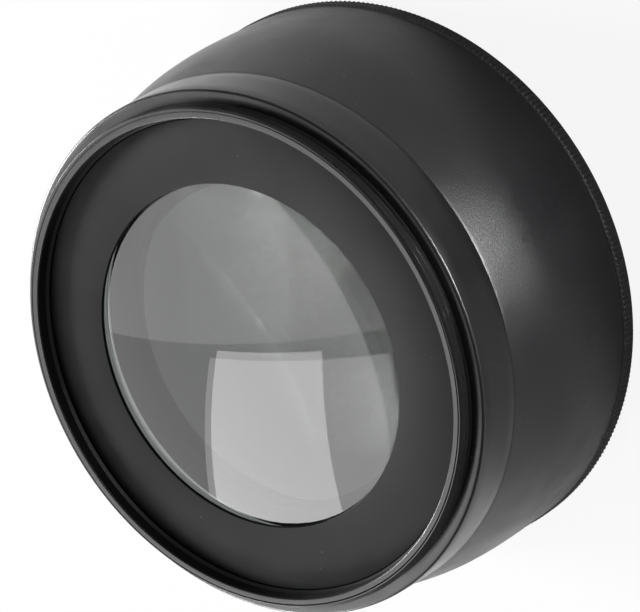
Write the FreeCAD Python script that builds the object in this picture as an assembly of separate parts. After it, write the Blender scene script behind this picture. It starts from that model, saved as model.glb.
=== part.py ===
import FreeCAD, Part
import math
import os

# Wide-angle conversion lens, in millimetres.
# It stands on its large front rim. Z runs along the optical axis from the front rim, at z = 0,
# up to the rear thread boss. Every turned piece is a section (radius, height) spun about Z.

# Clearances
turned_clearance = 0.05
glass_clearance = 0.05
stack_gap = 0.02
seal_slack = 0.055

# Front element, a negative meniscus, which sets how large the lens is across
front_element_r = 28.40
front_glass_recess = 3.60
front_convex_radius = 180.0
front_dish_radius = 36.0
front_land_width = 5.40
front_centre_thickness = 2.60
glass_bevel = 0.20

# Front retaining ring, its seal and the shim behind the front element
retainer_overlap = 1.50
retainer_height = 1.00
retainer_slot_width = 2.00
retainer_slot_depth = 0.45
seal_section = 0.94
shim_thickness = 0.40
shim_inset = 0.20

# Knurled front ring and the accessory thread inside it
knurl_ring_height = 2.20
knurl_depth = 0.20
knurl_land = 0.35
knurl_teeth = 330
knurl_flat_share = 0.18
front_chamfer = 0.30
filter_thread_height = 0.45
filter_core_step = 1.15
filter_core_length = 1.20
sleeve_wall = 0.75
sleeve_length = 2.30

# Barrel: its lip round the sleeve, its web, and the stations of its outline, each at a share of the way
# from the seam to the front edge and some way inside the largest radius
barrel_lip = 0.75
web_height = 1.45
bore_step = 0.20
flare_shares = (0.18, 0.37, 0.56, 0.76)
flare_drops = (1.13, 0.43, 0.10, 0.0)
seam_groove = 0.12
edge_break = 0.25

# Light stop between the front and the middle element
stop_thickness = 0.30
stop_inset = 0.30
stop_edge = 0.05

# Rear cell, the tube that holds the middle and rear elements
cell_wall = 3.45
cell_ledge_height = 1.10
cell_ledge_width = 2.00
cell_web_gap = 0.20
cell_flange_inset = 0.26
cell_flange_height = 1.00

# Middle element, a negative meniscus
middle_convex_radius = 70.0
middle_dish_radius = 40.0
middle_land_width = 3.20
middle_centre_thickness = 1.60
middle_spacer_inset = 0.70
middle_spacer_height = 1.05
spacer_grooves = 2
spacer_groove_depth = 0.30

# Rear cemented pair
flint_front_radius = 300.0
flint_centre_thickness = 1.80
cement_radius = 60.0
crown_edge_thickness = 1.292
rear_convex_radius = 110.0

# Rear retaining plate, the wide flat annulus round the rear glass
plate_thickness = 1.23
plate_overlap = 1.10
plate_lip_inset = 0.30
plate_lip_gap = 0.05
plate_lip_thickness = 0.45
plate_edge_break = 0.12

# Rear mount ring
plate_drop = 1.65
plate_sink = 0.09
step_depth = 0.35
boss_height = 1.80
boss_wall = 1.30
recess_draft = 0.13
plate_inset = 0.44
shoulder_width = 1.40
shoulder_edge = 0.30
flange_height = 5.70
flange_taper = 0.23
spigot_inset = 0.80
spigot_wall = 3.65
washer_thickness = 0.36
washer_inset = 0.25

# Radii that follow from the front element, outwards to the barrel
retainer_r = front_element_r + seal_section + 2 * seal_slack - turned_clearance
retainer_clear_r = front_element_r - retainer_overlap
front_dish_clear_r = front_element_r - front_land_width
filter_core_r = retainer_r + filter_core_step
filter_thread_r = filter_core_r + filter_thread_height
sleeve_r = filter_thread_r + sleeve_wall
barrel_r = sleeve_r + turned_clearance + barrel_lip

# Radii of the rear, which screws into the same bore
spigot_r = front_element_r - bore_step
rear_thread_r = spigot_r + spigot_inset
shoulder_r = rear_thread_r + shoulder_width
flange_seam_r = shoulder_r + flange_taper
recess_r = rear_thread_r - boss_wall
plate_r = recess_r - plate_inset
cell_r = spigot_r - spigot_wall - turned_clearance
cell_flange_r = plate_r - cell_flange_inset
cell_lens_r = cell_r - cell_wall - glass_clearance
cell_clear_r = cell_lens_r - cell_ledge_width
stop_clear_r = cell_clear_r + stop_inset
seal_pocket_r = cell_lens_r + seal_section + 2 * seal_slack
middle_dish_clear_r = cell_lens_r - middle_land_width
middle_spacer_inner_r = middle_dish_clear_r + middle_spacer_inset
plate_clear_r = cell_lens_r - plate_overlap
plate_lip_r = cell_lens_r + plate_lip_inset
web_inner_r = cell_r + cell_web_gap


def sag(curve_radius, r):
    """Depth of a spherical surface of the given radius of curvature at distance r from its axis."""
    return curve_radius - math.sqrt(curve_radius ** 2 - r ** 2)


def point(r, z):
    return FreeCAD.Vector(r, 0, z)


def spun(edges):
    """Closed section of edges in the XZ half plane, spun once about Z."""
    face = Part.Face(Part.Wire(edges))
    solid = face.revolve(FreeCAD.Vector(0, 0, 0), FreeCAD.Vector(0, 0, 1), 360)
    return Part.Solid(solid.Shells[0]) if solid.ShapeType != "Solid" else solid


def straight_edges(corners):
    """Straight edges that join the (radius, height) corners in order, left open at the end."""
    points = [point(r, z) for r, z in corners]
    return [Part.LineSegment(a, b).toShape() for a, b in zip(points, points[1:])]


def turned(corners):
    """A turned piece whose section is the closed polygon of (radius, height) corners."""
    return spun(straight_edges(corners + corners[:1]))


def arc_edge(start, middle, end):
    return Part.Arc(point(*start), point(*middle), point(*end)).toShape()


def surface_arc(height_at, from_r, to_r):
    """Arc of a lens surface in the section, between two distances from the axis."""
    middle_r = (from_r + to_r) / 2
    stations = [(r, height_at(r)) for r in (from_r, middle_r, to_r)]
    return arc_edge(*stations)


# Front group

front_dish_vertex_z = front_glass_recess + front_centre_thickness
front_land_z = front_dish_vertex_z + sag(front_dish_radius, front_dish_clear_r)
web_under_z = front_land_z + shim_thickness + 2 * stack_gap
web_top_z = web_under_z + web_height
pocket_low_z = front_glass_recess + sag(front_convex_radius, front_element_r)
pocket_high_z = pocket_low_z + seal_section + 2 * stack_gap


def front_convex_height(r):
    return front_glass_recess + sag(front_convex_radius, r)


def front_dish_height(r):
    return front_dish_vertex_z + sag(front_dish_radius, r)


def front_element():
    """Negative meniscus: shallow convex face to the front, deep dish and flat land to the rear."""
    bevel_r = front_element_r - glass_bevel
    low = front_convex_height(bevel_r)
    edges = [surface_arc(front_convex_height, 0.0, bevel_r)]
    edges += straight_edges([
        (bevel_r, low),
        (front_element_r, low + glass_bevel),
        (front_element_r, front_land_z - glass_bevel),
        (bevel_r, front_land_z),
        (front_dish_clear_r, front_land_z),
    ])
    edges.append(surface_arc(front_dish_height, front_dish_clear_r, 0.0))
    edges += straight_edges([(0.0, front_dish_vertex_z), (0.0, front_glass_recess)])
    return spun(edges)


def front_shim():
    """Thin flat ring between the land of the front element and the web of the barrel."""
    low = front_land_z + stack_gap
    outer = front_element_r - glass_bevel
    inner = front_dish_clear_r + shim_inset
    return turned([
        (inner, low),
        (outer, low),
        (outer, low + shim_thickness),
        (inner, low + shim_thickness),
    ])


def front_seal():
    """O-ring in the pocket round the front edge of the front element."""
    ring_r = (front_element_r + retainer_r + turned_clearance) / 2
    centre = FreeCAD.Vector(0, 0, (pocket_low_z + pocket_high_z) / 2)
    return Part.makeTorus(ring_r, seal_section / 2, centre, FreeCAD.Vector(0, 0, 1))


def front_retaining_ring():
    """Threaded ring that holds the front element, with two slots for a pin spanner."""
    bearing_z = front_convex_height(retainer_clear_r) - stack_gap
    top = pocket_low_z - stack_gap
    bottom = top - retainer_height
    step_r = front_element_r + turned_clearance
    ring = turned([
        (retainer_clear_r, bearing_z),
        (retainer_clear_r, bottom + edge_break),
        (retainer_clear_r + edge_break, bottom),
        (retainer_r, bottom),
        (retainer_r, top),
        (step_r, top),
        (step_r, bearing_z),
    ])
    for turn in (0, 180):
        slot = Part.makeBox(retainer_r, retainer_slot_width, retainer_slot_depth)
        slot.translate(FreeCAD.Vector(retainer_clear_r - edge_break, -retainer_slot_width / 2, bottom))
        slot.rotate(FreeCAD.Vector(0, 0, 0), FreeCAD.Vector(0, 0, 1), turn)
        ring = ring.cut(slot)
    return ring


def knurled_band(low, high):
    """Prism of straight teeth: each has a narrow flat crest and meets the next at a sharp root."""
    crest_r = barrel_r + knurl_depth
    pitch = 2 * math.pi / knurl_teeth
    corners = []
    for tooth in range(knurl_teeth):
        start = tooth * pitch
        crest = [start + pitch * (0.5 - knurl_flat_share / 2), start + pitch * (0.5 + knurl_flat_share / 2)]
        for angle, r in [(start, barrel_r), (crest[0], crest_r), (crest[1], crest_r)]:
            corners.append(FreeCAD.Vector(r * math.cos(angle), r * math.sin(angle), low))
    outline = Part.makePolygon(corners + corners[:1])
    return Part.Face(outline).extrude(FreeCAD.Vector(0, 0, high - low))


def front_ring():
    """Front ring: knurled rim outside, accessory thread inside, sleeve screwed into the barrel."""
    top = knurl_ring_height + sleeve_length
    core_z = top - filter_core_length
    body = turned([
        (filter_thread_r, edge_break),
        (filter_thread_r + edge_break, 0.0),
        (barrel_r - front_chamfer, 0.0),
        (barrel_r, front_chamfer),
        (barrel_r, knurl_ring_height),
        (sleeve_r, knurl_ring_height),
        (sleeve_r, top),
        (filter_core_r, top),
        (filter_core_r, core_z),
        (filter_thread_r, core_z),
    ])
    band = knurled_band(knurl_land, knurl_ring_height - knurl_land / 2)
    bore = Part.makeCylinder((filter_thread_r + barrel_r) / 2, knurl_ring_height)
    return body.fuse(band.cut(bore)).removeSplitter()


# Rear stack, from the stop up to the rear glass, the plate over it and the top of the boss

stop_low_z = web_under_z
cell_low_z = stop_low_z + stop_thickness + stack_gap
ledge_z = cell_low_z + cell_ledge_height
middle_vertex_z = ledge_z + stack_gap - sag(middle_convex_radius, cell_clear_r)
middle_dish_vertex_z = middle_vertex_z + middle_centre_thickness
middle_land_z = middle_dish_vertex_z + sag(middle_dish_radius, middle_dish_clear_r)
spacer_top_z = middle_land_z + stack_gap + middle_spacer_height
flint_vertex_z = spacer_top_z + stack_gap - sag(flint_front_radius, middle_spacer_inner_r)
cement_vertex_z = flint_vertex_z + flint_centre_thickness
rear_edge_z = cement_vertex_z + sag(cement_radius, cell_lens_r) + crown_edge_thickness
rear_vertex_z = rear_edge_z + sag(rear_convex_radius, cell_lens_r)
lip_under_z = rear_vertex_z - sag(rear_convex_radius, plate_clear_r) + plate_lip_gap
plate_top_z = lip_under_z + plate_lip_thickness
plate_under_z = plate_top_z - plate_thickness
cell_top_z = plate_under_z - stack_gap
cell_flange_z = cell_top_z - cell_flange_height
overall_height = plate_top_z + plate_drop
shoulder_z = overall_height - boss_height
seam_z = shoulder_z - flange_height


def middle_convex_height(r):
    return middle_vertex_z + sag(middle_convex_radius, r)


def middle_dish_height(r):
    return middle_dish_vertex_z + sag(middle_dish_radius, r)


def flint_front_height(r):
    return flint_vertex_z + sag(flint_front_radius, r)


def cement_height(r):
    return cement_vertex_z + sag(cement_radius, r)


def rear_convex_height(r):
    return rear_vertex_z - sag(rear_convex_radius, r)


def stop_baffle():
    """Thin light stop with a knife edge, held between the front shim and the rear cell."""
    outer = web_inner_r - turned_clearance
    top = stop_low_z + stop_thickness
    return turned([
        (stop_clear_r, stop_low_z),
        (outer, stop_low_z),
        (outer, top),
        (stop_clear_r + stop_thickness, top),
        (stop_clear_r, stop_low_z + stop_edge),
    ])


def rear_cell():
    """Tube for the middle and rear elements, with an inner ledge below and a clamped flange above."""
    bore_r = cell_lens_r + glass_clearance
    flange_under_z = cell_flange_z + stack_gap
    pocket_z = cell_top_z - seal_section
    return turned([
        (cell_clear_r, cell_low_z),
        (cell_r - edge_break, cell_low_z),
        (cell_r, cell_low_z + edge_break),
        (cell_r, flange_under_z),
        (cell_flange_r, flange_under_z),
        (cell_flange_r, cell_top_z),
        (seal_pocket_r, cell_top_z),
        (seal_pocket_r, pocket_z),
        (bore_r, pocket_z),
        (bore_r, ledge_z),
        (cell_clear_r, ledge_z),
    ])


def middle_element():
    """Negative meniscus, convex to the front, dish and flat land to the rear."""
    edges = [surface_arc(middle_convex_height, 0.0, cell_lens_r)]
    edges += straight_edges([
        (cell_lens_r, middle_convex_height(cell_lens_r)),
        (cell_lens_r, middle_land_z - glass_bevel),
        (cell_lens_r - glass_bevel, middle_land_z),
        (middle_dish_clear_r, middle_land_z),
    ])
    edges.append(surface_arc(middle_dish_height, middle_dish_clear_r, 0.0))
    edges += straight_edges([(0.0, middle_dish_vertex_z), (0.0, middle_vertex_z)])
    return spun(edges)


def middle_spacer():
    """Spacer ring between the middle element and the rear pair, with turned light-trap grooves."""
    low = middle_land_z + stack_gap
    pitch = middle_spacer_height / spacer_grooves
    corners = [(cell_lens_r, low), (cell_lens_r, spacer_top_z), (middle_spacer_inner_r, spacer_top_z)]
    for groove in range(spacer_grooves):
        top = spacer_top_z - groove * pitch
        corners.append((middle_spacer_inner_r + spacer_groove_depth, top - pitch / 2))
        corners.append((middle_spacer_inner_r, top - pitch))
    return turned(corners)


def rear_flint_element():
    """Inner lens of the cemented pair: nearly flat to the front, hollow to the rear."""
    edges = [surface_arc(flint_front_height, 0.0, cell_lens_r)]
    edges += straight_edges([
        (cell_lens_r, flint_front_height(cell_lens_r)),
        (cell_lens_r, cement_height(cell_lens_r)),
    ])
    edges.append(surface_arc(cement_height, cell_lens_r, 0.0))
    edges += straight_edges([(0.0, cement_vertex_z), (0.0, flint_vertex_z)])
    return spun(edges)


def rear_crown_element():
    """Outer lens of the cemented pair, convex on both faces, with a fine ground bevel."""
    bevel_r = cell_lens_r - glass_bevel
    edges = [surface_arc(cement_height, 0.0, cell_lens_r)]
    edges += straight_edges([
        (cell_lens_r, cement_height(cell_lens_r)),
        (cell_lens_r, rear_convex_height(bevel_r) - glass_bevel),
        (bevel_r, rear_convex_height(bevel_r)),
    ])
    edges.append(surface_arc(rear_convex_height, bevel_r, 0.0))
    edges += straight_edges([(0.0, rear_vertex_z), (0.0, cement_vertex_z)])
    return spun(edges)


def rear_seal():
    """O-ring in the pocket of the cell, round the edge of the rear glass and under the plate."""
    ring_r = (cell_lens_r + seal_pocket_r) / 2
    centre = FreeCAD.Vector(0, 0, plate_under_z - stack_gap / 2 - seal_section / 2)
    return Part.makeTorus(ring_r, seal_section / 2, centre, FreeCAD.Vector(0, 0, 1))


# Barrel

def main_barrel():
    """Outer barrel: short cylinder at the front that runs through a soft shoulder to the seam."""
    front_z = knurl_ring_height + stack_gap
    socket_r = sleeve_r + turned_clearance
    thread_r = retainer_r + turned_clearance
    bore_r = front_element_r + glass_clearance
    rear_r = spigot_r + turned_clearance
    rear_edge = seam_z - seam_groove
    front_edge = front_z + seam_groove
    outline = [point(flange_seam_r, rear_edge)]
    for share, drop in zip(flare_shares, flare_drops):
        outline.append(point(barrel_r - drop, rear_edge + share * (front_edge - rear_edge)))
    curve = Part.BSplineCurve()
    curve.interpolate(outline)
    edges = straight_edges([
        (flange_seam_r, rear_edge),
        (flange_seam_r - seam_groove, seam_z - stack_gap),
        (rear_r, seam_z - stack_gap),
        (rear_r, web_top_z),
        (web_inner_r, web_top_z),
        (web_inner_r, web_under_z),
        (bore_r, web_under_z),
        (bore_r, pocket_high_z),
        (thread_r, pocket_high_z),
        (thread_r, knurl_ring_height + sleeve_length + stack_gap),
        (socket_r, knurl_ring_height + sleeve_length + stack_gap),
        (socket_r, front_z),
        (barrel_r - seam_groove, front_z),
        (barrel_r, front_edge),
        (barrel_r, outline[-1].z),
    ])
    return spun(edges + [curve.toShape()])


# Rear plate and mount ring

def rear_plate():
    """Wide flat annulus, thin at its lip over the glass, screwed into the mount ring."""
    return turned([
        (plate_clear_r, lip_under_z),
        (plate_lip_r, lip_under_z),
        (plate_lip_r, plate_under_z),
        (plate_r, plate_under_z),
        (plate_r, plate_top_z - plate_edge_break),
        (plate_r - plate_edge_break, plate_top_z),
        (plate_clear_r + plate_edge_break / 2, plate_top_z),
        (plate_clear_r, plate_top_z - plate_edge_break / 2),
    ])


def spigot_washer():
    """Flat washer between the web of the barrel and the spigot of the mount ring."""
    low = web_top_z + stack_gap
    outer = spigot_r - turned_clearance
    inner = web_inner_r + washer_inset
    return turned([
        (inner, low),
        (outer, low),
        (outer, low + washer_thickness),
        (inner, low + washer_thickness),
    ])


def rear_mount_ring():
    """Mount ring: thread boss with a shallow recess, shoulder, flange band and threaded spigot."""
    spigot_low_z = web_top_z + washer_thickness + 2 * stack_gap
    bore_r = cell_r + turned_clearance
    plate_bore_r = plate_r + turned_clearance
    step_low_z = plate_top_z + plate_sink
    rim_break = edge_break / 2
    corner_turn = shoulder_edge * (1 - math.sqrt(0.5))
    edges = straight_edges([
        (shoulder_r - shoulder_edge, shoulder_z),
        (rear_thread_r, shoulder_z),
        (rear_thread_r, overall_height - rim_break),
        (rear_thread_r - rim_break, overall_height),
        (recess_r + rim_break, overall_height),
        (recess_r, overall_height - rim_break),
        (recess_r - recess_draft, step_low_z + step_depth),
        (plate_bore_r, step_low_z),
        (plate_bore_r, cell_flange_z),
        (bore_r, cell_flange_z),
        (bore_r, spigot_low_z),
        (spigot_r - edge_break, spigot_low_z),
        (spigot_r, spigot_low_z + edge_break),
        (spigot_r, seam_z),
        (flange_seam_r - seam_groove, seam_z),
        (flange_seam_r, seam_z + seam_groove),
        (shoulder_r, shoulder_z - shoulder_edge),
    ])
    edges.append(arc_edge(
        (shoulder_r, shoulder_z - shoulder_edge),
        (shoulder_r - corner_turn, shoulder_z - corner_turn),
        (shoulder_r - shoulder_edge, shoulder_z),
    ))
    return spun(edges)


pieces = [
    front_ring,
    front_retaining_ring,
    front_seal,
    front_element,
    front_shim,
    main_barrel,
    stop_baffle,
    spigot_washer,
    rear_cell,
    middle_element,
    middle_spacer,
    rear_flint_element,
    rear_crown_element,
    rear_seal,
    rear_plate,
    rear_mount_ring,
]

os.makedirs("parts", exist_ok=True)
for piece in pieces:
    shape = piece()
    name = piece.__name__
    shape.exportStep(f"parts/{name}.step")
    print(name, shape.ShapeType, shape.isValid(), len(shape.Solids), round(shape.Volume, 2))
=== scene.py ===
import math

import bpy
import numpy as np
from mathutils import Matrix, Vector


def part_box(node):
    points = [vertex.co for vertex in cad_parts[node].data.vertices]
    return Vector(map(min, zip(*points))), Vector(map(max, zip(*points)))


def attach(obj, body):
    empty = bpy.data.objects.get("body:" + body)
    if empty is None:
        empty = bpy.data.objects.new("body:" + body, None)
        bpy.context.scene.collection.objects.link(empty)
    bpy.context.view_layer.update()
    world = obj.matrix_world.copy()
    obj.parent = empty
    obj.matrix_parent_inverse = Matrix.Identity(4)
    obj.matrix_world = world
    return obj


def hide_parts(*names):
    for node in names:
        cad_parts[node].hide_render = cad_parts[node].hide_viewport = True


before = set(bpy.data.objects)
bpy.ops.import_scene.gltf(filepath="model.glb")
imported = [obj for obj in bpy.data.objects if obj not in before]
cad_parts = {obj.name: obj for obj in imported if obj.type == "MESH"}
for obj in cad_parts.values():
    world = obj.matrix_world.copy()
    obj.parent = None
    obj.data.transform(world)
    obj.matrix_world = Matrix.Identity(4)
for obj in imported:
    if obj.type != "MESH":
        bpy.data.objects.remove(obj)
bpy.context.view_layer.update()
MM = 0.001


# Front ring
# The rim that the lens stands on: turned aluminium, black anodised, with a straight knurl rolled round
# its edge for the fingers and an accessory thread cut inside. Its sleeve is screwed into the barrel.

def linear(hex_colour):
    """sRGB hex to linear RGBA: c / 12.92 up to 0.04045, else ((c + 0.055) / 1.055) to the power 2.4."""
    srgb = np.array([int(hex_colour[i:i + 2], 16) for i in (1, 3, 5)]) / 255
    rgb = np.where(srgb <= 0.04045, srgb / 12.92, ((srgb + 0.055) / 1.055) ** 2.4)
    return (*rgb, 1.0)


def add_node(tree, kind, sockets=None, **settings):
    """Adds a node with its settings. Each socket named is linked to the socket given, or set to the value."""
    node = tree.nodes.new(kind)
    for setting, value in settings.items():
        setattr(node, setting, value)
    for socket, source in (sockets or {}).items():
        if isinstance(source, bpy.types.NodeSocket):
            tree.links.new(source, node.inputs[socket])
        else:
            node.inputs[socket].default_value = source
    return node


def new_material(name):
    """An empty material and its node tree."""
    material = bpy.data.materials.new(name)
    material.use_nodes = True
    material.node_tree.nodes.clear()
    return material, material.node_tree


def object_millimetres(tree):
    """Object coordinates in millimetres, so that every pattern is scaled from its real size."""
    place = add_node(tree, "ShaderNodeTexCoord").outputs["Object"]
    scaled = add_node(tree, "ShaderNodeVectorMath", {0: place, "Scale": 1 / MM}, operation="SCALE")
    return scaled.outputs["Vector"]


def turning_coordinates(tree, millimetres):
    """(distance from the axis, height) in place of (x, y, z), so a pattern runs round as lathe marks do."""
    parts = add_node(tree, "ShaderNodeSeparateXYZ", {0: millimetres})
    flat = add_node(tree, "ShaderNodeCombineXYZ", {"X": parts.outputs["X"], "Y": parts.outputs["Y"]})
    radius = add_node(tree, "ShaderNodeVectorMath", {0: flat.outputs[0]}, operation="LENGTH")
    joined = add_node(
        tree, "ShaderNodeCombineXYZ", {"X": radius.outputs["Value"], "Y": parts.outputs["Z"]})
    return joined.outputs[0]


def dust_specks(tree, millimetres):
    """How much dust lies at a point: a round speck in the middle of one Voronoi cell in seven."""
    cell_mm, core, edge = 1.6, 0.030, 0.055
    thickest, least_red = 0.5, 0.86
    cells = add_node(tree, "ShaderNodeTexVoronoi", {"Vector": millimetres, "Scale": 1 / cell_mm})
    speck = add_node(tree, "ShaderNodeMapRange", {
        "Value": cells.outputs["Distance"],
        "From Min": core, "From Max": edge, "To Min": thickest, "To Max": 0.0,
    })
    colour = add_node(tree, "ShaderNodeSeparateColor", {0: cells.outputs["Color"]})
    chosen = add_node(
        tree, "ShaderNodeMath", {0: colour.outputs["Red"], 1: least_red}, operation="GREATER_THAN")
    dust = add_node(
        tree, "ShaderNodeMath", {0: speck.outputs[0], 1: chosen.outputs[0]}, operation="MULTIPLY")
    return dust.outputs[0]


def anodised(name, colour, dust_colour, roughness, specular, grain, marks):
    """Black anodised aluminium: a dyed oxide skin, dark and low in gloss, with a few specks of dust.

    grain and marks hold the size and the depth, in mm, of the metal's grain and of its lathe marks, which lie
    one feed apart. The roughness drifts a little from place to place, as handling leaves it."""
    grain_mm, grain_depth_mm = grain
    mark_mm, mark_depth_mm = marks
    cloud_mm, drift = 6.0, 0.06
    noise_low, noise_high = 0.3, 0.7
    material, tree = new_material(name)
    place = object_millimetres(tree)
    grit = add_node(tree, "ShaderNodeTexNoise", {
        "Vector": place, "Scale": 1 / grain_mm, "Detail": 3.0, "Roughness": 0.7,
    })
    rings = add_node(tree, "ShaderNodeTexNoise", noise_dimensions="2D", sockets={
        "Vector": turning_coordinates(tree, place),
        "Scale": 1 / mark_mm, "Detail": 4.0, "Roughness": 0.6,
    })
    cloud = add_node(tree, "ShaderNodeTexNoise", {"Vector": place, "Scale": 1 / cloud_mm, "Detail": 3.0})
    shine = add_node(tree, "ShaderNodeMapRange", {
        "Value": cloud.outputs["Fac"], "From Min": noise_low, "From Max": noise_high,
        "To Min": roughness - drift, "To Max": roughness + drift,
    })
    tone = add_node(tree, "ShaderNodeMix", data_type="RGBA", sockets={
        "Factor": dust_specks(tree, place), "A": linear(colour), "B": linear(dust_colour),
    })
    grit_bump = add_node(tree, "ShaderNodeBump", {
        "Height": grit.outputs["Fac"], "Strength": 1.0, "Distance": grain_depth_mm * MM,
    })
    ring_bump = add_node(tree, "ShaderNodeBump", {
        "Height": rings.outputs["Fac"], "Normal": grit_bump.outputs[0],
        "Strength": 1.0, "Distance": mark_depth_mm * MM,
    })
    skin = add_node(tree, "ShaderNodeBsdfPrincipled", {
        "Base Color": tone.outputs["Result"], "Roughness": shine.outputs[0],
        "Normal": ring_bump.outputs[0], "Specular IOR Level": specular,
    })
    add_node(tree, "ShaderNodeOutputMaterial", {"Surface": skin.outputs[0]})
    return material


def rounded(corners, arc_steps=3):
    """Closed section whose corners (radius, height, fillet, parts of the side that follows) become arcs.

    Each arc lies between the points where a circle of the fillet's radius touches both sides. Its point at
    share t is centre + (sin((1 - t) s) a + sin(t s) b) / sin(s), for the two touching radii a and b, which
    are the angle s apart."""
    nearly_straight = 1.55
    places = np.array([corner[:2] for corner in corners], float)
    fillets = [corner[2] if len(corner) > 2 else 0 for corner in corners]
    parts = [corner[3] if len(corner) > 3 else 1 for corner in corners]
    arcs = []
    for index, place in enumerate(places):
        before = places[index - 1] - place
        after = places[(index + 1) % len(places)] - place
        before, after = before / np.linalg.norm(before), after / np.linalg.norm(after)
        half = math.acos(np.clip(before @ after, -1, 1)) / 2
        if not fillets[index] or half > nearly_straight:
            arcs.append(place[None])
            continue
        middle = (before + after) / np.linalg.norm(before + after)
        centre = place + middle * fillets[index] / math.sin(half)
        start = place + before * fillets[index] / math.tan(half) - centre
        end = place + after * fillets[index] / math.tan(half) - centre
        turn = math.pi - 2 * half
        share = np.linspace(0, 1, arc_steps + 1)[:, None]
        swept = np.sin((1 - share) * turn) * start + np.sin(share * turn) * end
        arcs.append(centre + swept / math.sin(turn))
    rows = []
    for index, arc in enumerate(arcs):
        following = arcs[(index + 1) % len(arcs)][0]
        share = np.linspace(0, 1, parts[index] + 1)[1:-1, None]
        rows += [arc, arc[-1] + share * (following - arc[-1])]
    return np.concatenate(rows)


def turned_mesh(name, section, around, shift=None, open_ends=False, sharp_degrees=35):
    """Section (radius, height) in mm carried round Z: x = r cos a, y = r sin a, z = h.

    shift(a, r, h) gives a change of radius at each point of the grid. With open_ends the section runs from
    the axis back to the axis, and its two ends are single points."""
    section = np.array(section, float)
    wrapped = np.roll(section, -1, 0)
    area = (section[:, 0] * wrapped[:, 1] - wrapped[:, 0] * section[:, 1]).sum()
    if area < 0:
        section = section[::-1]
    angle = np.arange(around)[:, None] * 2 * np.pi / around
    inner = section[1:-1] if open_ends else section
    count = len(inner)
    radius = np.broadcast_to(inner[:, 0], (around, count))
    height = np.broadcast_to(inner[:, 1], (around, count))
    if shift is not None:
        radius = radius + shift(angle, radius, height)
    points = np.stack([radius * np.cos(angle), radius * np.sin(angle), height], 2).reshape(-1, 3)
    column = np.arange(around)[:, None]
    row = np.arange(count - 1 if open_ends else count)[None]
    next_column, next_row = (column + 1) % around, (row + 1) % count
    faces = np.stack([
        column * count + row, next_column * count + row,
        next_column * count + next_row, column * count + next_row,
    ], 2).reshape(-1, 4).tolist()
    if open_ends:
        first, last = len(points), len(points) + 1
        points = np.concatenate([points, [[0, 0, section[0, 1]], [0, 0, section[-1, 1]]]])
        ring, next_ring = column[:, 0] * count, next_column[:, 0] * count
        faces += np.stack([np.full(around, first), next_ring, ring], 1).tolist()
        faces += np.stack([ring + count - 1, next_ring + count - 1, np.full(around, last)], 1).tolist()
    mesh = bpy.data.meshes.new(name)
    mesh.from_pydata((points * MM).tolist(), [], faces)
    mesh.shade_smooth()
    mesh.set_sharp_from_angle(angle=math.radians(sharp_degrees))
    piece = bpy.data.objects.new(name, mesh)
    bpy.context.collection.objects.link(piece)
    return piece


def stand_for(piece, slot, material, *nodes):
    """The piece rides on the one body, takes the material and stands for these solids, which it hides.
    slot is not used.
    """
    piece.data.materials.append(material)
    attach(piece, "root")
    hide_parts(*nodes)


ring_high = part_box("front_ring")[1]
knurl_crest_r, ring_top = ring_high.x / MM, ring_high.z / MM
knurl_teeth, knurl_depth = 330, 0.20
knurl_low, knurl_high, knurl_run_out = 0.35, 2.02, 0.15
flank_share = 0.82
rim_r, rim_height = knurl_crest_r - knurl_depth, 2.20
accessory_r, accessory_low, accessory_length = 31.0, 0.3, 3.30
accessory_pitch, accessory_depth = 0.75, 0.40
sleeve_r, sleeve_bore_r = 31.75, 30.55
on_surface = 0.01


def knurl_and_thread(angle, radius, height):
    """Outside, teeth with flat crests: depth times the distance from the groove, as a share of the flank,
    at most 1. Inside, a helical V groove: depth times 1 less the distance from its middle in half pitches."""
    tooth = np.abs((angle * knurl_teeth / (2 * np.pi)) % 1 - 0.5) * 2
    crest = np.clip((1 - tooth) / flank_share, 0, 1) * knurl_depth
    low_end = np.clip((height - knurl_low) / knurl_run_out, 0, 1)
    high_end = np.clip((knurl_high - height) / knurl_run_out, 0, 1)
    outside = crest * (low_end * high_end) * (radius > rim_r - on_surface)
    turn = ((height / accessory_pitch - angle / (2 * np.pi)) % 1 - 0.5) * 2
    in_thread = (radius < accessory_r + on_surface) * (height < accessory_length)
    inside = in_thread * (height > accessory_low)
    return outside - inside * (1 - np.abs(turn)) * accessory_depth


ring_section = rounded([
    (accessory_r, 0.0, 0.25), (rim_r, 0.0, 0.28, 30), (rim_r, rim_height, 0.08), (sleeve_r, rim_height),
    (sleeve_r, ring_top), (sleeve_bore_r, ring_top), (sleeve_bore_r, accessory_length),
    (accessory_r, accessory_length, 0, 28),
])
points_per_tooth = 4
knurled_ring = turned_mesh(
    "knurled_front_ring", ring_section, knurl_teeth * points_per_tooth, knurl_and_thread)
# The skin over the rolled teeth is smooth and fairly dull, so each crest shows as a short thin line.
knurled_black = anodised(
    "knurled_black_anodised", "#2c2c2d", "#8d8b88", 0.5, 0.45, grain=(0.12, 0.004), marks=(0.10, 0.002))
stand_for(knurled_ring, "knurled_black", knurled_black, "front_ring")


# Barrel
# The outer shell, turned from bar, blasted with fine grit and anodised black: a short cylinder behind the
# knurled ring that runs through a soft shoulder into a flare, and ends at the seam with the mount ring.

barrel_low, barrel_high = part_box("main_barrel")
barrel_r = barrel_high.x / MM
barrel_front, barrel_seam = barrel_low.z / MM, barrel_high.z / MM
front_break, cylinder_top, cylinder_rows = 0.12, 6.7, 6
seam_r, seam_break = 30.63, 0.12
flare_heights = np.array([6.98, 10.85, 14.524, 18.199, barrel_seam - seam_break])
flare_radii = barrel_r - np.array([0, 0.10, 0.43, 1.13, barrel_r - seam_r])
flare_rows = 60
mount_thread_r = 28.25
web_bore_r, web_low, web_high = 24.70, 14.945, 16.395
chamber_r, chamber_low = 28.45, 6.815
front_seat_r, front_seat_low = 29.45, 4.52
sleeve_thread_r = 31.80


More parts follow.
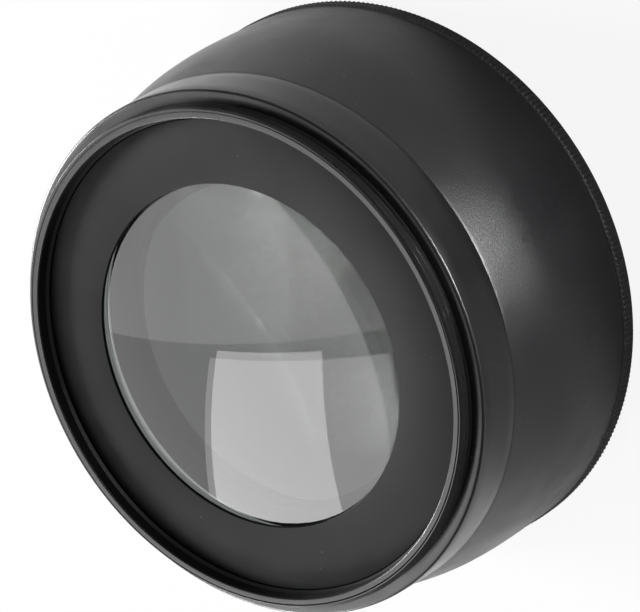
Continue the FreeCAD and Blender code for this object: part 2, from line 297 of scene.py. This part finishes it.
def natural_curve(knots, values, at):
    """Smooth curve through the knots. Between two knots it is (b right cubed + c left cubed) / 6 gap plus a
    straight line that meets the values, with left and right the distances from the two knots, and b and c the
    second derivatives at them, chosen so that the slope runs on through every knot."""
    gaps = np.diff(knots)
    count = len(knots)
    system = np.zeros((count, count))
    kinks = np.zeros(count)
    system[0, 0] = system[-1, -1] = 1
    index = np.arange(1, count - 1)
    system[index, index - 1] = gaps[:-1]
    system[index, index] = 2 * (gaps[:-1] + gaps[1:])
    system[index, index + 1] = gaps[1:]
    kinks[1:-1] = 6 * (np.diff(values)[1:] / gaps[1:] - np.diff(values)[:-1] / gaps[:-1])
    bend = np.linalg.solve(system, kinks)
    cell = np.clip(np.searchsorted(knots, at) - 1, 0, count - 2)
    left, right, gap = at - knots[cell], knots[cell + 1] - at, gaps[cell]
    return (bend[cell] * right ** 3 + bend[cell + 1] * left ** 3) / (6 * gap) + (
        values[cell] / gap - bend[cell] * gap / 6) * right + (
        values[cell + 1] / gap - bend[cell + 1] * gap / 6) * left


flare_at = np.linspace(flare_heights[0], flare_heights[-1], flare_rows)
flare_curve = np.stack([natural_curve(flare_heights, flare_radii, flare_at), flare_at], 1)
cylinder_at = np.linspace(barrel_front + front_break, cylinder_top, cylinder_rows)
barrel_outside = np.stack([np.full(cylinder_rows, barrel_r), cylinder_at], 1)
barrel_inside = np.array([
    (seam_r - 0.05, barrel_seam - 0.02), (seam_r - seam_break, barrel_seam), (mount_thread_r, barrel_seam),
    (mount_thread_r, web_high), (web_bore_r, web_high), (web_bore_r, web_low), (chamber_r, web_low),
    (chamber_r, chamber_low), (front_seat_r, chamber_low), (front_seat_r, front_seat_low),
    (sleeve_thread_r, front_seat_low), (sleeve_thread_r, barrel_front),
    (barrel_r - 0.10, barrel_front), (barrel_r - 0.03, barrel_front + 0.03),
])
barrel_section = np.concatenate([barrel_outside, flare_curve, barrel_inside])
barrel_shell = turned_mesh("barrel_shell", barrel_section, around=360)
# Blasting spreads each light into a soft, slightly grainy patch. The real grit leaves pits under 0.1 mm,
# too fine to show, so they are drawn 0.2 mm wide.
blasted_black = anodised(
    "blasted_black_anodised", "#19191b", "#a4a29e", 0.32, 0.46, grain=(0.20, 0.033), marks=(0.30, 0.001))
stand_for(barrel_shell, "blasted_black", blasted_black, "main_barrel")


# Mount ring
# Turned ring screwed into the rear of the barrel: a satin flange band, a rounded shoulder, and the boss with
# the male thread that goes into the camera lens. A bevelled step leads down into its shallow recess.

mount_low, mount_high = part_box("rear_mount_ring")
boss_top, mount_bottom = mount_high.z / MM, mount_low.z / MM
shoulder_z = boss_top - 1.80
shoulder_r, shoulder_round = 30.40, 0.30
thread_r, thread_pitch, thread_depth = 29.00, 0.75, 0.42
thread_low, thread_run_out = shoulder_z + 0.18, 0.2
v_steepness, wall_margin = 1.15, 0.3
boss_break = 0.12
groove_r, groove_half, groove_depth, groove_side = 28.485, 0.025, 0.06, 0.05
lip_edge_r, lip_wall_r = 27.82, 27.70
step_r, step_z = 27.57, 28.09
recess_r, recess_top, recess_floor = 27.31, 27.74, 25.40
mount_bore_r, spigot_r, mount_seam = 24.55, 28.20, 21.80


def male_thread(angle, radius, height):
    """Helical V groove in the wall of the boss: depth times 1 less the distance from its middle in half
    pitches, made a little steeper, and running out at the shoulder."""
    turn = np.abs(((height / thread_pitch - angle / (2 * np.pi)) % 1 - 0.5) * 2)
    groove = np.clip((1 - turn) * v_steepness, 0, 1) * thread_depth
    on_wall = (radius > thread_r - wall_margin) * (radius < thread_r + on_surface) * (height > thread_low)
    run_out = np.clip((height - thread_low) / thread_run_out, 0, 1)
    return -groove * run_out * on_wall


def give_faces(piece, material, least_r, low, high):
    """Gives a material to the faces of a piece that lie beyond a radius and between two heights, in mm."""
    polygons = piece.data.polygons
    piece.data.materials.append(material)
    centres = np.zeros(len(polygons) * 3)
    polygons.foreach_get("center", centres)
    centres = centres.reshape(-1, 3) / MM
    slots = np.zeros(len(polygons), np.int32)
    polygons.foreach_get("material_index", slots)
    beyond = np.hypot(centres[:, 0], centres[:, 1]) > least_r
    chosen = beyond & (centres[:, 2] > low) & (centres[:, 2] < high)
    slots[chosen] = len(piece.data.materials) - 1
    polygons.foreach_set("material_index", slots)


# One fine groove is turned in the top of the boss, between the thread and the recess.
groove_outer, groove_inner = groove_r + groove_half, groove_r - groove_half
mount_section = rounded([
    (thread_r, shoulder_z, 0, 60), (thread_r, boss_top - boss_break, 0.04),
    (thread_r - boss_break, boss_top, 0.04, 2),
    (groove_outer + groove_side, boss_top), (groove_outer, boss_top - groove_depth),
    (groove_inner, boss_top - groove_depth), (groove_inner - groove_side, boss_top),
    (lip_edge_r, boss_top, 0.05), (lip_wall_r, boss_top - boss_break, 0.04), (step_r, step_z, 0.04),
    (recess_r, recess_top, 0.04), (recess_r, recess_floor), (mount_bore_r, recess_floor),
    (mount_bore_r, mount_bottom), (spigot_r, mount_bottom), (spigot_r, mount_seam),
    (seam_r, mount_seam, 0.09, 4), (shoulder_r, shoulder_z, shoulder_round, 2),
])
mount_ring = turned_mesh("rear_mount_ring_turned", mount_section, around=512, shift=male_thread)
# Fine turning marks draw the light out into a satin band along the flange.
turned_black = anodised(
    "turned_black_anodised", "#0d0d0e", "#a4a29e", 0.22, 0.50, grain=(0.10, 0.002), marks=(0.14, 0.003))
stand_for(mount_ring, "turned_black", turned_black, "rear_mount_ring")
# The thread and the shoulder beside it are cut more coarsely and look greyer, with bright thin edges.
thread_black = anodised(
    "thread_black_anodised", "#242425", "#a4a29e", 0.30, 0.6, grain=(0.10, 0.003), marks=(0.14, 0.004))
boss_inside_r = 25.0
give_faces(mount_ring, thread_black, boss_inside_r, shoulder_z - shoulder_round - 0.01, boss_top + 1)


# Rear plate
# Wide flat annulus that holds the rear glass: turned aluminium, anodised to a fine even matt black, and
# screwed into the mount ring until its thin lip meets the glass.

plate_low, plate_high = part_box("rear_plate")
plate_top, plate_bottom, plate_r = plate_high.z / MM, plate_low.z / MM, plate_high.x / MM
plate_clear_r, lip_r, lip_thick = 19.90, 21.30, 0.45
plate_section = rounded([
    (plate_clear_r, plate_top - lip_thick, 0.05), (lip_r, plate_top - lip_thick, 0.05),
    (lip_r, plate_bottom, 0.05), (plate_r, plate_bottom, 0.05), (plate_r, plate_top, 0.12),
    (plate_clear_r, plate_top, 0.06),
])
plate = turned_mesh("rear_plate_turned", plate_section, around=360)
# An even, dull black with hardly any shine, on which a speck of dust shows.
plate_black = anodised(
    "plate_black_anodised", "#0f1011", "#a4a29e", 0.55, 0.2, grain=(0.12, 0.003), marks=(0.20, 0.002))
stand_for(plate, "plate_black", plate_black, "rear_plate")


# Rear cemented pair
# Two lenses of crown and flint glass, ground, polished and cemented into one block, with the edge painted
# black. The eye sees a clear, mirror-bright convex glass, and, where the flint's rim is bare, pale rings
# that glow as painted light.

def lens_face(top, curve_radius, sign=1):
    """Height of a face at a distance r from the axis: top + sign times (R less the root of R squared less r
    squared), for a sphere of radius R that touches the axis at the height top."""
    return lambda radius: top + sign * (curve_radius - np.sqrt(curve_radius ** 2 - radius ** 2))


def optical_glass(name, ior, tint, coating, share=1.0, gloss=0.0):
    """Polished optical glass: clear, with its own index, and a coating whose colour is all that it mirrors.

    share is the part of the light that the glass bends or mirrors, and the rest passes its coating straight.
    gloss is the strength of a second, uncoloured mirror on its surface."""
    material, tree = new_material(name)
    body = add_node(tree, "ShaderNodeBsdfPrincipled", {
        "Base Color": linear(tint), "Roughness": 0.0, "IOR": ior, "Transmission Weight": 1.0,
        "Specular Tint": linear(coating), "Alpha": share, "Coat Weight": gloss, "Coat Roughness": 0.0,
    })
    add_node(tree, "ShaderNodeOutputMaterial", {"Surface": body.outputs[0]})
    return material


def matt_black(name, colour, roughness, grain_mm):
    """Dead matt black, as the paint on a lens edge or the inside of a cell. The real grain is too fine to
    show, so it is drawn coarser, at grain_mm."""
    grain_depth_mm, specular = 0.01, 0.3
    material, tree = new_material(name)
    grain = add_node(tree, "ShaderNodeTexNoise", {
        "Vector": object_millimetres(tree), "Scale": 1 / grain_mm, "Detail": 2.0,
    })
    bump = add_node(tree, "ShaderNodeBump", {
        "Height": grain.outputs["Fac"], "Strength": 1.0, "Distance": grain_depth_mm * MM,
    })
    skin = add_node(tree, "ShaderNodeBsdfPrincipled", {
        "Base Color": linear(colour), "Roughness": roughness, "Normal": bump.outputs[0],
        "Specular IOR Level": specular,
    })
    add_node(tree, "ShaderNodeOutputMaterial", {"Surface": skin.outputs[0]})
    return material


def ground_glass_painted_glow(name, colour, roughness, ring_mm):
    """Rim of a lens as the wheel leaves it: pale rings that glow. The glow is painted light, an emission that
    stands in for the light running inside the glass.
    """
    dark_ring, bright_ring, brightest_painted_glow = 0.48, 0.66, 0.7
    material, tree = new_material(name)
    rings = add_node(tree, "ShaderNodeTexNoise", noise_dimensions="2D", sockets={
        "Vector": turning_coordinates(tree, object_millimetres(tree)), "Scale": 1 / ring_mm, "Detail": 2.0,
    })
    glow = add_node(tree, "ShaderNodeMapRange", {
        "Value": rings.outputs["Fac"],
        "From Min": dark_ring, "From Max": bright_ring, "To Min": 0.0, "To Max": brightest_painted_glow,
    })
    skin = add_node(tree, "ShaderNodeBsdfPrincipled", {
        "Base Color": linear(colour), "Roughness": roughness,
        "Emission Color": linear(colour), "Emission Strength": glow.outputs[0],
    })
    add_node(tree, "ShaderNodeOutputMaterial", {"Surface": skin.outputs[0]})
    return material


def lens_mesh(name, lower, edge, upper, around=256, rows=96):
    """A lens: lower(r) and upper(r) are its two faces, and edge lists the corners of its rim between them.

    The rows of a face lie at edge radius times sin(t), for t from 0 to a quarter turn, closest at the rim."""
    edge = np.array(edge, float)
    out = np.sin(np.linspace(0, np.pi / 2, rows)) * edge[0, 0]
    back = np.sin(np.linspace(np.pi / 2, 0, rows)) * edge[-1, 0]
    low_face = np.stack([out, lower(out)], 1)
    high_face = np.stack([back, upper(back)], 1)
    section = np.concatenate([low_face, edge, high_face])
    return turned_mesh(name, section, around, open_ends=True, sharp_degrees=20)


flint_low, crown_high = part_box("rear_flint_element")[0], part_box("rear_crown_element")[1]
pair_low, pair_high, pair_r = flint_low.z / MM, crown_high.z / MM, crown_high.x / MM
crown_rear = lens_face(pair_high, 110.0, sign=-1)
flint_front = lens_face(pair_low, 300.0)
rear_bevel, flint_bevel = 0.20, 0.30
crown_edge, flint_edge = 1.30, 1.60
cement_depth = 0.12
pair_top_edge = crown_rear(pair_r - rear_bevel)
cement_z = pair_top_edge - crown_edge
cement_top = cement_z + 0.14
rear_pair = lens_mesh("rear_cemented_pair", flint_front, [
    (pair_r, flint_front(pair_r) + 0.01), (pair_r, cement_z - flint_edge), (pair_r, cement_z - flint_bevel),
    (pair_r - cement_depth, cement_z - 0.06), (pair_r - cement_depth, cement_z + 0.02), (pair_r, cement_top),
    (pair_r, pair_top_edge - rear_bevel), (pair_r - rear_bevel, pair_top_edge - 0.01),
], crown_rear)
# The outer face is bare polish that mirrors the room clearly; the inner face is coated and mirrors little.
pair_glass = optical_glass("polished_pair_glass", 1.58, "#f4f8f6", "#ffffff", gloss=1.0)
coated_pair = optical_glass("coated_pair_glass", 1.58, "#f4f8f6", "#2a2832")
# Black paint hides the rims. The ground part, left bare, shows thin pale rings of painted light, which glow
# by emission. The wheel's real marks are too fine to show, so they are drawn 0.35 mm wide.
edge_paint = matt_black("lens_edge_paint", "#101011", 0.6, grain_mm=0.2)
ground_edge_painted_glow = ground_glass_painted_glow("ground_flint_edge_painted_glow", "#c9cdcb", 0.35, ring_mm=0.35)
stand_for(rear_pair, "optical_glass", pair_glass, "rear_crown_element", "rear_flint_element")
give_faces(rear_pair, coated_pair, -1, pair_low - 1, pair_low + 1)
give_faces(rear_pair, edge_paint, pair_r - 0.05, pair_low, pair_top_edge)
# Painted glow: the bare ground band of the flint's rim glows by emission.
give_faces(rear_pair, ground_edge_painted_glow, pair_r - 0.15, pair_low + 1.0, cement_top)


# Middle element
# Negative meniscus of crown glass, ground and polished, held in the rear cell. It is coated, so it mirrors
# next to nothing, and its edge and flat land are painted black.

middle_low, middle_high = (corner.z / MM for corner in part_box("middle_element"))
middle_clear_r, middle_thick, middle_bevel = 17.80, 1.60, 0.2
middle_front = lens_face(middle_low, 70.0)
middle_rear = lens_face(middle_low + middle_thick, 40.0)
middle = lens_mesh("middle_meniscus", middle_front, [
    (pair_r, middle_front(pair_r) + 0.01), (pair_r, middle_high - middle_bevel),
    (pair_r - middle_bevel, middle_high), (middle_clear_r, middle_high),
], middle_rear)
# Its coating lets nearly all the light through, so the eye finds only the edge of the glass.
crown_glass = optical_glass("coated_crown_glass", 1.52, "#e8ecea", "#2a3040", share=0.1)
stand_for(middle, "optical_glass", crown_glass, "middle_element")
give_faces(middle, edge_paint, middle_clear_r, middle_front(pair_r), middle_high + 1)


# Front element
# Large negative meniscus of crown glass, the one that faces the view, clamped by the retaining ring. Shallow
# outside, a deep dish inside, polished and coated, with its edge and flat land painted black.

front_low, front_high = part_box("front_element")
front_bottom, front_top, front_r = front_low.z / MM, front_high.z / MM, front_high.x / MM
front_clear_r, front_thick, front_bevel = 23.0, 2.60, 0.2
view_face = lens_face(front_bottom, 180.0)
dish_face = lens_face(front_bottom + front_thick, 36.0)
front_glass = lens_mesh("front_meniscus", view_face, [
    (front_r - front_bevel, view_face(front_r - front_bevel)), (front_r, view_face(front_r) + front_bevel),
    (front_r, front_top - front_bevel), (front_r - front_bevel, front_top), (front_clear_r, front_top),
], dish_face)
# The coating gives the front a faint violet sheen over a clear view into the cell.
dark_glass = optical_glass("coated_front_glass", 1.52, "#e4e8e6", "#4a4658", share=0.1)
stand_for(front_glass, "optical_glass", dark_glass, "front_element")
give_faces(front_glass, edge_paint, front_clear_r, view_face(front_r) + 0.1, front_top + 1)


# Cell, stop, spacer, retaining ring, seals and shims
# The pieces inside keep the solids' own shape. The metal ones are anodised dead matt black so that no stray
# light gets through; the seals are rubber cord and the shims are black plastic film.

# Dead black metal, slightly paler rubber and smoother film: the eye gets depth and hardly a highlight.
inner_black = matt_black("inner_matt_black", "#141415", 0.65, grain_mm=0.15)
seal_rubber = matt_black("seal_rubber_black", "#1a1a1a", 0.55, grain_mm=0.3)
shim_film = matt_black("shim_film_black", "#18181a", 0.4, grain_mm=0.8)
for node, finish in [
    ("rear_cell", inner_black),
    ("stop_baffle", inner_black),
    ("middle_spacer", inner_black),
    ("front_retaining_ring", inner_black),
    ("front_seal", seal_rubber),
    ("rear_seal", seal_rubber),
    ("front_shim", shim_film),
    ("spigot_washer", shim_film),
]:
    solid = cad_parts[node]
    solid.data.materials.clear()
    solid.data.materials.append(finish)


# Floor
# Plain white paper that the lens stands on, seamless to the edge of the view, with a faint shadow. Metal
# mirrors the paper as the lamps light it. Through glass it shows a painted shadow: a dim glow stands in
# for the shade under the lens.

floor_half = 6.0
seen_by_camera, seen_by_gloss = 0.9, 0.03
painted_shadow_through_glass = 0.05
floor_mesh = bpy.data.meshes.new("floor")
floor_mesh.from_pydata(
    [(-floor_half, -floor_half, 0), (floor_half, -floor_half, 0), (floor_half, floor_half, 0),
     (-floor_half, floor_half, 0)], [], [(0, 1, 2, 3)])
floor = bpy.data.objects.new("floor", floor_mesh)
bpy.context.collection.objects.link(floor)
floor_white, floor_tree = new_material("floor_white")
rays = add_node(floor_tree, "ShaderNodeLightPath").outputs
mirrored = add_node(floor_tree, "ShaderNodeMath", operation="MULTIPLY_ADD", sockets={
    0: rays["Is Glossy Ray"], 1: seen_by_gloss, 2: rays["Is Transmission Ray"],
})
share = add_node(floor_tree, "ShaderNodeMath", operation="MULTIPLY_ADD", use_clamp=True, sockets={
    0: rays["Is Camera Ray"], 1: seen_by_camera, 2: mirrored.outputs[0],
})
# Painted shadow: rays through glass find the paper as a dim glow, in place of the shade under the lens.
strength = add_node(floor_tree, "ShaderNodeMath", operation="MULTIPLY_ADD", sockets={
    0: rays["Is Transmission Ray"], 1: painted_shadow_through_glass - 1, 2: 1.0,
})
paper = add_node(floor_tree, "ShaderNodeBsdfDiffuse", {"Color": linear("#f2f2f2")})
glow = add_node(floor_tree, "ShaderNodeEmission", {"Strength": strength.outputs[0]})
floor_mix = add_node(floor_tree, "ShaderNodeMixShader", {
    "Fac": share.outputs[0], 1: paper.outputs[0], 2: glow.outputs[0],
})
add_node(floor_tree, "ShaderNodeOutputMaterial", {"Surface": floor_mix.outputs[0]})
floor_mesh.materials.append(floor_white)


# Light
# Behind and above, a large round soft box veils the glass, and three more draw a line and a window in it.
# Two low boxes behind give the level and the dark band in front. A wide box in front draws thin lines on
# bevels and thread, and a strip on the table lights the flare at the seam.

def soft_box(name, place, side, width, height, radiance, facing=None, oval=False):
    """Lamp at a place, its width along side. It faces the object, or else away from the direction given.

    It is a rectangle or an ellipse, and its power in watts is radiance times pi times area."""
    back = np.array(place if facing is None else facing)
    back = back / np.linalg.norm(back)
    across = np.array(side) - np.dot(side, back) * back
    across = across / np.linalg.norm(across)
    lamp = bpy.data.lights.new(name, "AREA")
    lamp.shape = "ELLIPSE" if oval else "RECTANGLE"
    lamp.size, lamp.size_y = width, height
    lamp.energy = radiance * math.pi * width * height * (math.pi / 4 if oval else 1)
    holder = bpy.data.objects.new(name, lamp)
    bpy.context.collection.objects.link(holder)
    turn = Matrix(np.stack([across, np.cross(back, across), back], 1).tolist())
    holder.matrix_world = Matrix.Translation(Vector(place)) @ turn.to_4x4()
    return holder


level, upright = (1, 0, 0), (0, 0, 1)
veil_side = (-0.195, -0.447, 0.39)
window_side, window_back = (-0.299, -0.951, 0.081), (-0.796, 0.296, 0.528)
soft_box("room_box", (0.03, 0.747, 0.715), level, 0.92, 0.94, 0.95, (0.0, 0.76, 0.70), oval=True)
soft_box("veil_box", (0.22, 0.60, 0.77), veil_side, 1.00, 0.40, 0.48)
soft_box("low_box", (-0.173, 0.555, 0.557), window_side, 0.50, 0.50, 0.95, window_back)
soft_box("window_box", (-0.104, 0.568, 0.578), window_side, 0.30, 0.36, 1.9, window_back)
soft_box("right_box", (0.40, 0.75, 0.30), upright, 0.26, 0.26, 54.0)
soft_box("left_box", (-0.38, 0.76, 0.30), upright, 0.26, 0.26, 22.0)
soft_box("front_box", (0.06, -0.80, 0.58), level, 0.80, 0.07, 6.0)
strip = soft_box("low_strip", (-0.014, -0.114, 0.008), level, 0.042, 0.010, 5.6, (-0.14, -1.0, 0.0))
strip_lift, strip_spread = 11, 40
strip.rotation_euler.rotate_axis("X", math.radians(strip_lift))
strip.data.spread = math.radians(strip_spread)
strip.visible_camera = False

world_behind_gloss = 0.1
world = bpy.data.worlds.new("studio")
bpy.context.scene.world = world
world.use_nodes = True
world_tree = world.node_tree
world_tree.nodes.clear()
rays = add_node(world_tree, "ShaderNodeLightPath").outputs
mirrored = add_node(world_tree, "ShaderNodeMath", operation="MAXIMUM", sockets={
    0: rays["Is Glossy Ray"], 1: rays["Is Transmission Ray"],
})
weaker = add_node(world_tree, "ShaderNodeMath", operation="MULTIPLY", sockets={
    0: mirrored.outputs[0], 1: world_behind_gloss,
})
world_share = add_node(world_tree, "ShaderNodeMath", operation="MAXIMUM", sockets={
    0: rays["Is Camera Ray"], 1: weaker.outputs[0],
})
room = add_node(world_tree, "ShaderNodeBackground", {"Strength": 0.05})
white = add_node(world_tree, "ShaderNodeBackground", {"Strength": 1.0})
world_mix = add_node(world_tree, "ShaderNodeMixShader", {
    "Fac": world_share.outputs[0], 1: room.outputs[0], 2: white.outputs[0],
})
add_node(world_tree, "ShaderNodeOutputWorld", {"Surface": world_mix.outputs[0]})


# Camera
# The photograph's view: a long lens that looks down on the rear of the object at a slant, turned so that the
# object's axis runs from the lower left to the upper right.

camera_data = bpy.data.cameras.new("view")
camera_data.sensor_width = 36.0
camera_data.lens = 196.9
camera = bpy.data.objects.new("view", camera_data)
bpy.context.collection.objects.link(camera)
camera.location = (0.875 * MM, -257.882 * MM, 307.966 * MM)
elevation, roll = 48.857, -120.221
tilt = Matrix.Rotation(math.radians(90 - elevation), 4, "X") @ Matrix.Rotation(math.radians(roll), 4, "Z")
camera.rotation_mode = "QUATERNION"
camera.rotation_quaternion = tilt.to_quaternion()
bpy.context.scene.camera = camera
bpy.context.scene.view_settings.view_transform = "Standard"
